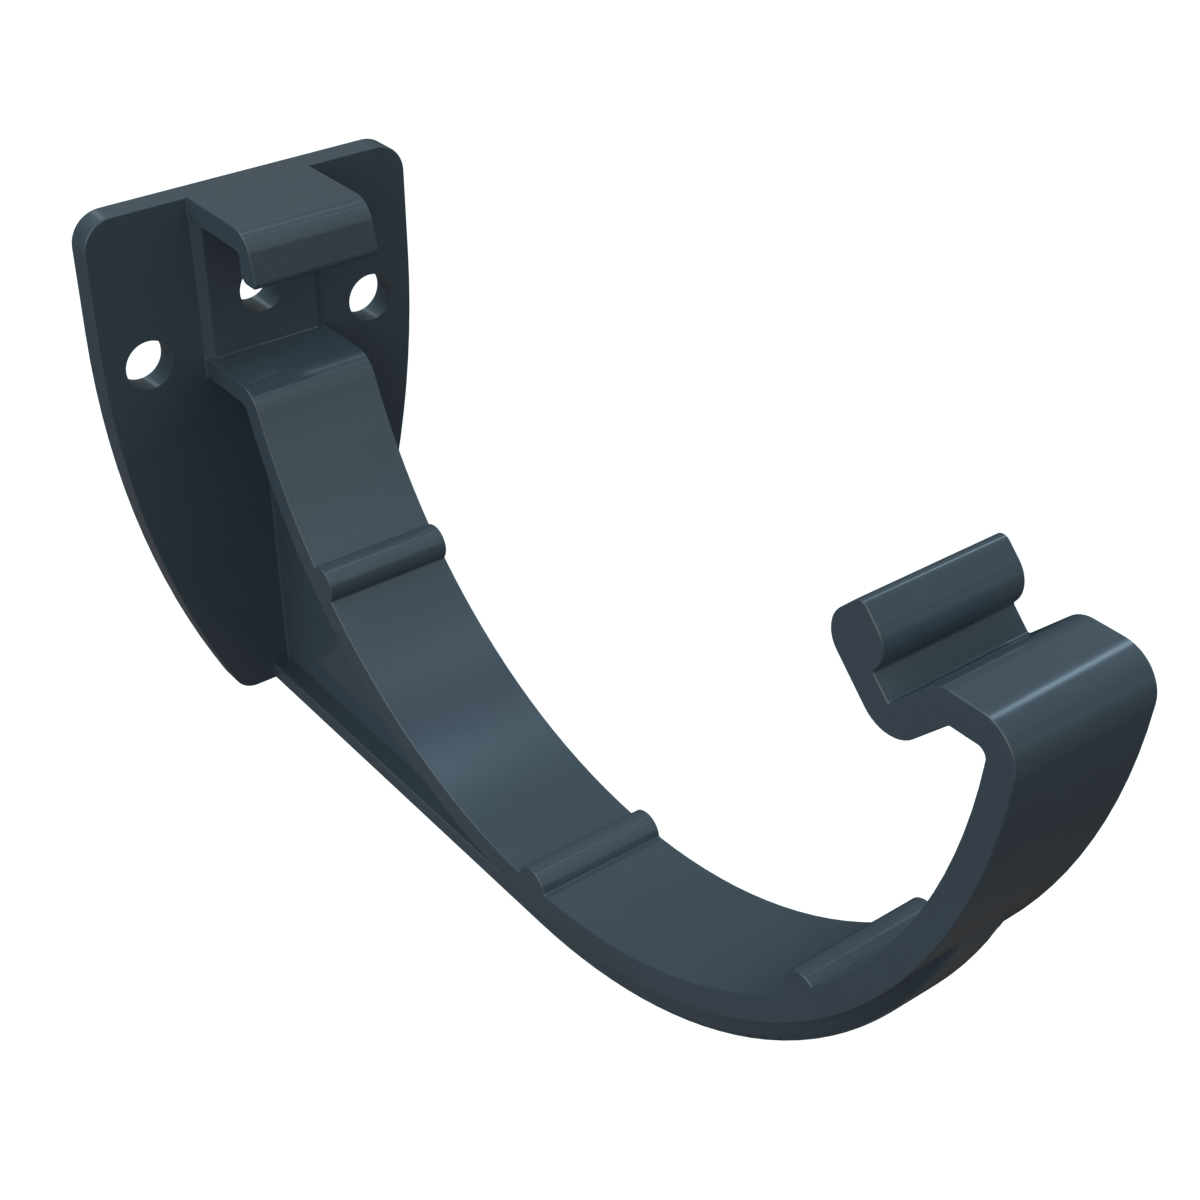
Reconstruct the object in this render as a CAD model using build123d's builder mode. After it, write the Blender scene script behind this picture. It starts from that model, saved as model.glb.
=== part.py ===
from build123d import *

import math
import os

# Fascia bracket for a half-round rainwater gutter, moulded in one piece.
#
# Frame: millimetres, +X out from the wall, +Y along the gutter, +Z up.
# Origin: on the back face of the plate, on the axis of the centre screw hole.

# ---- back plate -------------------------------------------------------------
plate_t = 3.25           # thickness
plate_w = 42.2           # width over the straight part of the sides
plate_top = 13.0         # height of the straight top edge
plate_bottom = -56.2     # height of the narrow lower end
plate_side_r = 121.5     # radius of the bowed sides
plate_side_z = -1.45     # the sides are straight above this height
plate_top_r = 3.8        # rounding of the two top corners
plate_low_r = 3.2        # rounding of the two lower corners
plate_edge_r = 0.2       # softened rim of the front face

# ---- screw holes ------------------------------------------------------------
hole_r = 3.05            # clearance for a 5 mm screw
side_hole_y = 15.15      # the two side holes, left and right
side_hole_z = -6.05
# the centre hole is on the X axis

# ---- raised pad between the tab and the arm ---------------------------------
pad_rise = 0.9
pad_base_w = 16.3
pad_top_w = 14.1

# ---- band that carries the gutter -------------------------------------------
band_w = 16.0
edge_cut = 0.09          # small bevel that softens the edges of band and tab
cradle_x = 68.76         # axis of the gutter
cradle_z = 13.7
cradle_in_r = 58.38      # inner face of the band
cradle_out_r = 61.36     # outer face of the band
rib_r = 2.25             # half-round cross ribs that touch the gutter
rib_centre_r = 58.65
rib_angles = (-45.5, -0.7, 44.25)  # from straight down, plus is outward
rib_root_r = 0.2

# ---- arm from the plate to the band -----------------------------------------
arm_top_z = -7.3
arm_under_z = -9.9
arm_bend_r = 3.7
arm_low_bend_r = 1.3

# ---- hook at the front ------------------------------------------------------
hook_top_z = 13.0
hook_corner_r = 3.9      # rounding of the front top corner
hook_crest_r = 3.2       # rounding at the back of the top face
hook_under_z = 9.87
hook_inner_r = 0.9
groove_slope = -108.65   # the front wall of the groove is the line z - x
groove_wall = 125.15     # the back wall of the groove is the line x + z
groove_r = 0.3
lip_front = -113.2      # underside of the lip, the line z - x
lip_back = 120.8         # back of the lip, the line x + z
lip_low_r = 3.8
bead_r = 2.87            # the bead along the end of the lip is round at the back and below
bead_corner_r = 0.95
bead_front_u = 91.45     # front of the bead, measured across the lip
bead_end_v = -68.38      # end of the bead, measured along the lip
bead_notch_v = -74.0     # foot of the bead in the groove

# ---- clip tab at the top ----------------------------------------------------
tab_under_z = 10.25
tab_out_top_x = 16.45    # the front of the tab leans out, from here at the top
tab_out_tip_x = 18.2     # to here at the tip, both before rounding
tab_in_x = 14.67
tab_tip_z = 6.7
tab_bend_r = 3.0
tab_inner_r = 0.6
tab_tip_out_r = 0.7
tab_tip_in_r = 1.3

# ---- web and lower flange ---------------------------------------------------
web_t = 2.3
flange_w = 7.3
flange_t = 2.7
flange_low_r = 1.05      # rounding of its two lower edges
flange_top_r = 0.2       # softening of its two upper edges
flange_slope = 0.472     # degrees, fall of the straight run away from the wall
flange_cx = 63.58        # centre of the curved run
flange_cz = 6.29
flange_r = 63.17         # underside of the curved run

root_x = 0.8             # arm, tab, web and flange start inside the plate
joint_r = 0.35           # fillets where arm, tab and web meet the plate
pad_joint_r = 0.2        # fillet where the arm meets the pad


def on_cradle(r, deg):
    """point at radius r around the gutter axis, deg from straight down"""
    a = math.radians(deg)
    return (cradle_x + r * math.sin(a), cradle_z - r * math.cos(a))


def cradle_at(r, z, side):
    """point of a circle around the gutter axis at height z; side -1 wall, +1 front"""
    return (cradle_x + side * math.sqrt(r * r - (z - cradle_z) ** 2), z)


def lip_point(u, v):
    """point given across the lip (u) and along it (v), both at 45 degrees"""
    return ((u - v) / math.sqrt(2), (u + v) / math.sqrt(2))


def flange_point(r, deg):
    """point of the curved run of the flange, deg from straight down"""
    a = math.radians(deg)
    return (flange_cx + r * math.sin(a), flange_cz - r * math.cos(a))


def circle_cross(c1, r1, c2, r2, near):
    """crossing of two circles that lies closest to the point near"""
    dx, dy = c2[0] - c1[0], c2[1] - c1[1]
    d = math.hypot(dx, dy)
    a = (r1 * r1 - r2 * r2 + d * d) / (2 * d)
    h = math.sqrt(max(r1 * r1 - a * a, 0.0))
    mx, my = c1[0] + a * dx / d, c1[1] + a * dy / d
    pts = [(mx + h * dy / d, my - h * dx / d), (mx - h * dy / d, my + h * dx / d)]
    return min(pts, key=lambda p: math.hypot(p[0] - near[0], p[1] - near[1]))


def bow(z):
    """point on the bowed side of the plate at height z"""
    return (plate_w / 2 - plate_side_r + math.sqrt(plate_side_r ** 2 - (plate_side_z - z) ** 2), z)


# corner points of the band outline
arm_bend = cradle_at(cradle_in_r, arm_top_z, -1)
arm_low_bend = cradle_at(cradle_out_r, arm_under_z, -1)
hook_inner = cradle_at(cradle_in_r, hook_under_z, 1)
hook_corner = cradle_at(cradle_out_r, hook_top_z, 1)
hook_under = (hook_under_z - lip_front, hook_under_z)
lip_low = ((lip_back - lip_front) / 2, (lip_back + lip_front) / 2)
groove = ((groove_wall - groove_slope) / 2, (groove_wall + groove_slope) / 2)
hook_crest = (hook_top_z - groove_slope, hook_top_z)
wall_u = groove_wall / math.sqrt(2)
back_u = lip_back / math.sqrt(2)
diag = bead_r * math.sin(math.pi / 4)
bead_left = lip_point(back_u, bead_end_v - bead_r)
bead_left_mid = lip_point(back_u + bead_r - diag, bead_end_v - bead_r + diag)
bead_end = lip_point(back_u + bead_r, bead_end_v)
bead_corner = lip_point(bead_front_u, bead_end_v)
foot_u, foot_v = bead_front_u - bead_r, bead_notch_v + bead_r
bead_right = lip_point(bead_front_u, foot_v)
bead_right_mid = lip_point(foot_u + diag, foot_v - diag)
notch = lip_point(wall_u, foot_v - math.sqrt(bead_r ** 2 - (wall_u - foot_u) ** 2))

# web and flange
side_low_y = bow(plate_bottom)[0]
cradle_c = (cradle_x, cradle_z)
cradle_mid_r = (cradle_in_r + cradle_out_r) / 2
flange_c = (flange_cx, flange_cz)
flange_knee_low = flange_point(flange_r, -flange_slope)
flange_knee_up = flange_point(flange_r - flange_t, -flange_slope)
flange_knee_mid = flange_point(flange_r - flange_t / 2, -flange_slope)
rise = math.tan(math.radians(flange_slope))
flange_back_low = (root_x, flange_knee_low[1] + (flange_knee_low[0] - root_x) * rise)
flange_back_up = (root_x, flange_knee_up[1] + (flange_knee_up[0] - root_x) * rise)
flange_back_mid = (root_x, flange_knee_mid[1] + (flange_knee_mid[0] - root_x) * rise)
flange_end_low = circle_cross(cradle_c, cradle_out_r - 1.2, flange_c, flange_r, (123.0, -15.0))
flange_end_up = circle_cross(cradle_c, cradle_out_r - 1.2, flange_c, flange_r - flange_t, (115.0, -28.0))
web_top = cradle_at(cradle_mid_r, arm_under_z + 1.3, -1)
web_tip = circle_cross(cradle_c, cradle_mid_r, flange_c, flange_r - flange_t, (115.0, -28.0))
web_end = circle_cross(cradle_c, cradle_mid_r, flange_c, flange_r - flange_t / 2, (118.0, -25.0))

with BuildPart() as gutter_bracket:
    # back plate, a shield with bowed sides
    with BuildSketch(Plane.YZ) as shield:
        with BuildLine():
            Polyline((-side_low_y, plate_bottom), (side_low_y, plate_bottom))
            ThreePointArc((side_low_y, plate_bottom), bow(-30.0), (plate_w / 2, plate_side_z))
            Polyline((plate_w / 2, plate_side_z), (plate_w / 2, plate_top), (-plate_w / 2, plate_top), (-plate_w / 2, plate_side_z))
            ThreePointArc((-plate_w / 2, plate_side_z), (-bow(-30.0)[0], -30.0), (-side_low_y, plate_bottom))
        make_face()
        fillet(shield.vertices().group_by(Axis.Y)[-1], plate_top_r)
        fillet(shield.vertices().group_by(Axis.Y)[0], plate_low_r)
    extrude(amount=plate_t)
    fillet(gutter_bracket.faces().sort_by(Axis.X)[-1].edges(), plate_edge_r)

    # band: arm, cradle with its ribs, hook, lip and bead, in one side outline
    with BuildSketch(Plane.XZ) as band_face:
        with BuildLine():
            Line((root_x, arm_top_z), arm_bend)
            ThreePointArc(arm_bend, on_cradle(cradle_in_r, 0), hook_inner)
            Line(hook_inner, hook_under)
            Line(hook_under, lip_low)
            Line(lip_low, bead_left)
            ThreePointArc(bead_left, bead_left_mid, bead_end)
            Line(bead_end, bead_corner)
            Line(bead_corner, bead_right)
            ThreePointArc(bead_right, bead_right_mid, notch)
            Line(notch, groove)
            Line(groove, hook_crest)
            Line(hook_crest, hook_corner)
            ThreePointArc(hook_corner, on_cradle(cradle_out_r, 0), arm_low_bend)
            Line(arm_low_bend, (root_x, arm_under_z))
            Line((root_x, arm_under_z), (root_x, arm_top_z))
        make_face()
        with Locations(*[on_cradle(rib_centre_r, a) for a in rib_angles]):
            Circle(rib_r)

        def corner(p, r):
            fillet(band_face.vertices().sort_by_distance((p[0], p[1], 0))[0], r)

        corner(arm_bend, arm_bend_r)
        corner(arm_low_bend, arm_low_bend_r)
        corner(hook_inner, hook_inner_r)
        corner(hook_under, 0.5)
        corner(lip_low, lip_low_r)
        corner(bead_corner, bead_corner_r)
        corner(notch, 0.25)
        corner(groove, groove_r)
        corner(hook_crest, hook_crest_r)
        corner(hook_corner, hook_corner_r)
        rib_half = math.degrees(rib_r / cradle_in_r)
        for a in rib_angles:
            corner(on_cradle(cradle_in_r, a - rib_half), rib_root_r)
            corner(on_cradle(cradle_in_r, a + rib_half), rib_root_r)
    extrude(amount=band_w / 2, both=True)
    rim = [e for e in gutter_bracket.edges() if abs(abs(e.center().Y) - band_w / 2) < 1e-4 and e.center().X > plate_t + 0.01]
    chamfer(rim, edge_cut)

    # clip tab, its top flush with the top of the plate
    with BuildSketch(Plane.XZ) as tab_face:
        with BuildLine():
            Polyline((root_x, plate_top), (tab_out_top_x, plate_top), (tab_out_tip_x, tab_tip_z), (tab_in_x, tab_tip_z),
                     (tab_in_x, tab_under_z), (root_x, tab_under_z), close=True)
        make_face()

        def tab_corner(p, r):
            fillet(tab_face.vertices().sort_by_distance((p[0], p[1], 0))[0], r)

        tab_corner((tab_out_top_x, plate_top), tab_bend_r)
        tab_corner((tab_out_tip_x, tab_tip_z), tab_tip_out_r)
        tab_corner((tab_in_x, tab_tip_z), tab_tip_in_r)
        tab_corner((tab_in_x, tab_under_z), tab_inner_r)
    extrude(amount=band_w / 2, both=True)
    rim = [e for e in gutter_bracket.edges()
           if abs(abs(e.center().Y) - band_w / 2) < 1e-4 and e.center().Z > 3 and plate_t + 0.01 < e.center().X < 30]
    chamfer(rim, edge_cut)

    # fillet all round the root of the arm
    arm_root = [e for e in gutter_bracket.edges() if abs(e.center().X - plate_t) < 1e-3
                and abs(e.center().Y) < band_w / 2 + 0.01 and arm_under_z - 0.1 < e.center().Z < arm_top_z + 0.1]
    fillet(arm_root, joint_r)

    # pad on the front face, between the arm and the tab
    with BuildSketch(Plane.XY.offset(arm_top_z - 0.6)) as pad_face:
        with BuildLine():
            Polyline((plate_t - 0.6, -pad_base_w / 2), (plate_t, -pad_base_w / 2), (plate_t + pad_rise, -pad_top_w / 2),
                     (plate_t + pad_rise, pad_top_w / 2), (plate_t, pad_base_w / 2), (plate_t - 0.6, pad_base_w / 2), close=True)
        make_face()
    extrude(amount=tab_under_z - arm_top_z + 1.2)

    # web in the middle plane
    with BuildSketch(Plane.XZ) as web_face:
        with BuildLine():
            Line((root_x, arm_under_z + 1.3), web_top)
            ThreePointArc(web_top, on_cradle(cradle_mid_r, 0), web_tip)
            Line(web_tip, web_end)
            ThreePointArc(web_end, flange_point(flange_r - flange_t / 2, 20), flange_knee_mid)
            Line(flange_knee_mid, flange_back_mid)
            Line(flange_back_mid, (root_x, arm_under_z + 1.3))
        make_face()
    extrude(amount=web_t / 2, both=True)

    # flange along the lower edge of the web
    with BuildSketch(Plane.XZ) as flange_face:
        with BuildLine():
            Line(flange_back_low, flange_knee_low)
            ThreePointArc(flange_knee_low, flange_point(flange_r, 20), flange_end_low)
            Line(flange_end_low, flange_end_up)
            ThreePointArc(flange_end_up, flange_point(flange_r - flange_t, 20), flange_knee_up)
            Line(flange_knee_up, flange_back_up)
            Line(flange_back_up, flange_back_low)
        make_face()
    extrude(amount=flange_w / 2, both=True)

    def flange_sides():
        """long side edges of the flange, the upper ones first, as these are shorter"""
        return gutter_bracket.edges().filter_by(
            lambda e: abs(abs(e.center().Y) - flange_w / 2) < 1e-4 and e.center().X > plate_t + 0.01 and e.length > 20
        ).sort_by(SortBy.LENGTH)

    fillet(flange_sides()[-4:], flange_low_r)
    fillet(flange_sides()[:4], flange_top_r)

    # concave fillets along the two sides of the web and of the tab, where they meet the plate
    bulge = joint_r * (1 - math.sin(math.pi / 4))
    for half_w, z_low, z_high in ((web_t / 2, flange_back_mid[1], arm_under_z + 0.8),
                                  (band_w / 2, tab_under_z + edge_cut, plate_top - plate_edge_r - 0.05)):
        with BuildSketch(Plane.XY.offset(z_low)) as root_face:
            with BuildLine():
                Line((root_x, -half_w - joint_r), (plate_t, -half_w - joint_r))
                ThreePointArc((plate_t, -half_w - joint_r), (plate_t + bulge, -half_w - bulge), (plate_t + joint_r, -half_w))
                Line((plate_t + joint_r, -half_w), (plate_t + joint_r, half_w))
                ThreePointArc((plate_t + joint_r, half_w), (plate_t + bulge, half_w + bulge), (plate_t, half_w + joint_r))
                Line((plate_t, half_w + joint_r), (root_x, half_w + joint_r))
                Line((root_x, half_w + joint_r), (root_x, -half_w - joint_r))
            make_face()
        extrude(amount=z_high - z_low)

    # fillet between the pad and the arm
    pad_joint = [e for e in gutter_bracket.edges()
                 if abs(e.center().Z - arm_top_z) < 0.05 and abs(e.center().X - plate_t - pad_rise) < 0.05]
    fillet(pad_joint, pad_joint_r)

    # screw holes
    with Locations(Plane.YZ.offset(plate_t + pad_rise + 1)):
        with Locations((0, 0), (-side_hole_y, side_hole_z), (side_hole_y, side_hole_z)):
            Hole(hole_r, depth=plate_t + pad_rise + 2)

os.makedirs("parts", exist_ok=True)
gutter_bracket.part.label = "gutter_bracket"
export_step(gutter_bracket.part, "parts/gutter_bracket.step")
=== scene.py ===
import math

import bpy
from mathutils import Matrix, Vector


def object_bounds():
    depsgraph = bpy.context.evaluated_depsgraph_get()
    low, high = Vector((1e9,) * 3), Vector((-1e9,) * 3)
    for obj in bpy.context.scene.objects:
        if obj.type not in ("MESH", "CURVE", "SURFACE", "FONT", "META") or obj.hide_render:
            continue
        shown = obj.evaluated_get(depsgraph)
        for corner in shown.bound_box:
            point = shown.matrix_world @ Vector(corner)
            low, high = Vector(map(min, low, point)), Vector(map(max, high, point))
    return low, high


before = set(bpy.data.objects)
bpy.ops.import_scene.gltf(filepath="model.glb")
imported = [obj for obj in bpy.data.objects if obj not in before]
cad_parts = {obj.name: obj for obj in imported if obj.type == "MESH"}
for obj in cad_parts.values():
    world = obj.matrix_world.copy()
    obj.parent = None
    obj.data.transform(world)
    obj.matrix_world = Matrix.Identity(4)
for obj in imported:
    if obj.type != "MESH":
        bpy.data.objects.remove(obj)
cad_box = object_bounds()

scene = bpy.context.scene

# ---------------------------------------------------------------- helpers


def node(tree, kind, place=(0, 0), **values):
    """adds a shader node; keyword values set its properties"""
    n = tree.nodes.new(kind)
    n.location = place
    for key, value in values.items():
        setattr(n, key, value)
    return n


def ramp_stops(ramp, stops):
    """stops: (position, colour) pairs"""
    elements = ramp.color_ramp.elements
    while len(elements) < len(stops):
        elements.new(0.5)
    for element, (position, colour) in zip(elements, stops):
        element.position = position
        element.color = (*colour, 1) if len(colour) == 3 else colour


# ---------------------------------------------------------------- material
# moulded rigid PVC in anthracite blue-grey, satin gloss: a faint orange-peel
# undulation, fine mould grain and slow changes of gloss and tone

PVC = (0.060, 0.085, 0.110)   # linear colour of the moulding
DARK = tuple(c * 0.94 for c in PVC)
LIGHT = tuple(c * 1.06 for c in PVC)


def moulded_pvc():
    mat = bpy.data.materials.new("moulded_pvc_anthracite")
    mat.use_nodes = True
    t = mat.node_tree
    t.nodes.clear()
    out = node(t, "ShaderNodeOutputMaterial", (900, 0))
    bsdf = node(t, "ShaderNodeBsdfPrincipled", (600, 0))
    t.links.new(bsdf.outputs["BSDF"], out.inputs["Surface"])
    bsdf.inputs["IOR"].default_value = 1.5
    bsdf.inputs["Specular IOR Level"].default_value = 0.5

    place = node(t, "ShaderNodeTexCoord", (-1400, 0))

    # slow tone change over the moulding
    slow = node(t, "ShaderNodeTexNoise", (-1000, 300))
    slow.inputs["Scale"].default_value = 38.0
    slow.inputs["Detail"].default_value = 3.0
    slow.inputs["Roughness"].default_value = 0.55
    t.links.new(place.outputs["Object"], slow.inputs["Vector"])
    speck = node(t, "ShaderNodeTexNoise", (-1000, 60))
    speck.inputs["Scale"].default_value = 900.0
    speck.inputs["Detail"].default_value = 2.0
    t.links.new(place.outputs["Object"], speck.inputs["Vector"])
    both = node(t, "ShaderNodeMix", (-760, 220), data_type="FLOAT")
    both.inputs["Factor"].default_value = 0.3
    t.links.new(slow.outputs["Fac"], both.inputs["A"])
    t.links.new(speck.outputs["Fac"], both.inputs["B"])
    tone = node(t, "ShaderNodeValToRGB", (-520, 260))
    ramp_stops(tone, [(0.32, DARK), (0.68, LIGHT)])
    t.links.new(both.outputs["Result"], tone.inputs["Fac"])
    t.links.new(tone.outputs["Color"], bsdf.inputs["Base Color"])

    # gloss varies a little
    gloss = node(t, "ShaderNodeMapRange", (-300, -60))
    gloss.inputs["From Min"].default_value = 0.3
    gloss.inputs["From Max"].default_value = 0.7
    gloss.inputs["To Min"].default_value = 0.14
    gloss.inputs["To Max"].default_value = 0.18
    t.links.new(both.outputs["Result"], gloss.inputs["Value"])
    t.links.new(gloss.outputs["Result"], bsdf.inputs["Roughness"])

    # orange peel and fine grain
    peel = node(t, "ShaderNodeTexNoise", (-1000, -300))
    peel.inputs["Scale"].default_value = 260.0
    peel.inputs["Detail"].default_value = 2.0
    peel.inputs["Roughness"].default_value = 0.4
    t.links.new(place.outputs["Object"], peel.inputs["Vector"])
    grain = node(t, "ShaderNodeTexNoise", (-1000, -540))
    grain.inputs["Scale"].default_value = 2600.0
    grain.inputs["Detail"].default_value = 1.0
    t.links.new(place.outputs["Object"], grain.inputs["Vector"])
    bump_peel = node(t, "ShaderNodeBump", (-60, -300))
    bump_peel.inputs["Strength"].default_value = 0.5
    bump_peel.inputs["Distance"].default_value = 0.00002
    t.links.new(peel.outputs["Fac"], bump_peel.inputs["Height"])
    bump_grain = node(t, "ShaderNodeBump", (200, -400))
    bump_grain.inputs["Strength"].default_value = 0.4
    bump_grain.inputs["Distance"].default_value = 0.000004
    t.links.new(grain.outputs["Fac"], bump_grain.inputs["Height"])
    t.links.new(bump_peel.outputs["Normal"], bump_grain.inputs["Normal"])
    t.links.new(bump_grain.outputs["Normal"], bsdf.inputs["Normal"])
    return mat


pvc = moulded_pvc()
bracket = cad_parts["gutter_bracket"]
bracket.data.materials.clear()
bracket.data.materials.append(pvc)

# even shading across the narrow rim bevels
even = bracket.modifiers.new("even_shading", "WEIGHTED_NORMAL")
even.mode = "FACE_AREA"
even.weight = 50
even.keep_sharp = True

# ---------------------------------------------------------------- floor
# plain pale floor well below the bracket, so that nothing casts a shadow on it

floor_mesh = bpy.data.meshes.new("floor")
s = 3.0
floor_z = cad_box[0][2] - 0.35
floor_mesh.from_pydata([(-s, -s, floor_z), (s, -s, floor_z), (s, s, floor_z), (-s, s, floor_z)], [], [(0, 1, 2, 3)])
floor = bpy.data.objects.new("floor", floor_mesh)
scene.collection.objects.link(floor)
floor.visible_diffuse = False
floor.visible_glossy = False
fmat = bpy.data.materials.new("pale_floor")
fmat.use_nodes = True
fb = fmat.node_tree.nodes["Principled BSDF"]
fb.inputs["Base Color"].default_value = (0.9, 0.9, 0.9, 1)
fb.inputs["Roughness"].default_value = 0.9
fb.inputs["Emission Color"].default_value = (1, 1, 1, 1)
fb.inputs["Emission Strength"].default_value = 0.4
floor_mesh.materials.append(fmat)

# ---------------------------------------------------------------- camera

cam_data = bpy.data.cameras.new("camera")
cam_data.sensor_fit = "AUTO"
cam_data.sensor_width = 36.0
cam_data.lens = 60.65
cam_data.clip_start = 0.005
cam_data.clip_end = 20.0
camera = bpy.data.objects.new("camera", cam_data)
scene.collection.objects.link(camera)
camera.location = (0.20327, -0.10278, 0.10198)
look = Vector((-0.6598, 0.5080, -0.5539)).normalized()
right = look.cross(Vector((0, 0, 1))).normalized()
up = right.cross(look)
camera.matrix_world = Matrix(((right.x, up.x, -look.x, camera.location.x),
                              (right.y, up.y, -look.y, camera.location.y),
                              (right.z, up.z, -look.z, camera.location.z),
                              (0, 0, 0, 1)))
scene.camera = camera

# ---------------------------------------------------------------- light
# soft studio light: large dim panels around the bracket and a few tighter ones,
# each given by its azimuth, its elevation, its tightness and its colour

PANELS = [
    (-170, 59, 14, (0.60, 1.01, 1.16)),
    (-117, 50, 14, (1.35, 1.46, 1.40)),
    (20, 47, 14, (0.88, 1.07, 1.11)),
    (158, 45, 14, (0.30, 0.29, 0.25)),
    (-97, 31, 14, (1.12, 1.18, 1.22)),
    (-45, 25, 14, (1.64, 1.54, 1.63)),
    (93, 23, 14, (1.37, 1.58, 1.72)),
    (8, 19, 14, (0.30, 0.24, 0.13)),
    (-77, 15, 14, (0.76, 0.83, 0.73)),
    (165, 3, 14, (0.20, 0.20, 0.20)),
    (48, -10, 14, (0.09, 0.11, 0.12)),
    (-37, -14, 14, (0.18, 0.24, 0.25)),
    (-122, -17, 14, (0.24, 0.20, 0.24)),
    (35, -35, 14, (0.09, 0.06, 0.06)),
    (108, -67, 14, (0.085, 0.078, 0.072)),
    (60, -50, 14, (0.015, 0.02, 0.025)),
    (-170, -48, 14, (0.11, 0.10, 0.10)),
    (107, 46, 260, (3.2, 4.6, 5.8)),
    (107, 64, 120, (0.49, 0.62, 0.50)),
    (107, 71, 120, (0.88, 1.23, 2.01)),
    (64, 60, 120, (0.57, 0.74, 0.87)),
    (28, 20, 120, (0.31, 0.45, 0.54)),
    (42, 10, 50, (0.24, 0.28, 0.30)),
    (169, 34, 260, (1.05, 1.3, 1.55)),
    (150, 22, 30, (0.042, 0.024, 0.016)),
    (130, 36, 40, (0.07, 0.085, 0.095)),
]
LEVEL = 1.05              # overall strength of the panels
BACKDROP = (1.0, 1.0, 1.0)

world = bpy.data.worlds.new("studio")
scene.world = world
world.use_nodes = True
world.cycles.sampling_method = "MANUAL"
world.cycles.sample_map_resolution = 1024
t = world.node_tree
t.nodes.clear()
out = node(t, "ShaderNodeOutputWorld", (1200, 0))
way = node(t, "ShaderNodeTexCoord", (-1400, 0))
total = None
for number, (az, el, tight, colour) in enumerate(PANELS):
    a, e = math.radians(az), math.radians(el)
    y = 900 - 160 * number
    dot = node(t, "ShaderNodeVectorMath", (-1100, y), operation="DOT_PRODUCT")
    dot.inputs[1].default_value = (math.cos(e) * math.cos(a), math.cos(e) * math.sin(a), math.sin(e))
    t.links.new(way.outputs["Generated"], dot.inputs[0])
    fall = node(t, "ShaderNodeMath", (-900, y), operation="MULTIPLY_ADD")
    fall.inputs[1].default_value = tight
    fall.inputs[2].default_value = -tight
    t.links.new(dot.outputs["Value"], fall.inputs[0])
    glow = node(t, "ShaderNodeMath", (-700, y), operation="EXPONENT")
    t.links.new(fall.outputs["Value"], glow.inputs[0])
    tint = node(t, "ShaderNodeVectorMath", (-500, y), operation="SCALE")
    tint.inputs[0].default_value = tuple(LEVEL * c for c in colour)
    t.links.new(glow.outputs["Value"], tint.inputs["Scale"])
    if total is None:
        total = tint
    else:
        plus = node(t, "ShaderNodeVectorMath", (-250, y), operation="ADD")
        t.links.new(total.outputs["Vector"], plus.inputs[0])
        t.links.new(tint.outputs["Vector"], plus.inputs[1])
        total = plus
panels = node(t, "ShaderNodeBackground", (600, 100))
t.links.new(total.outputs["Vector"], panels.inputs["Color"])
backdrop = node(t, "ShaderNodeBackground", (600, -100))
backdrop.inputs["Color"].default_value = (*BACKDROP, 1)
sight = node(t, "ShaderNodeLightPath", (600, 400))
pick = node(t, "ShaderNodeMixShader", (900, 0))
t.links.new(sight.outputs["Is Camera Ray"], pick.inputs["Fac"])
t.links.new(panels.outputs["Background"], pick.inputs[1])
t.links.new(backdrop.outputs["Background"], pick.inputs[2])
t.links.new(pick.outputs["Shader"], out.inputs["Surface"])

scene.view_settings.view_transform = "Standard"
scene.view_settings.look = "None"
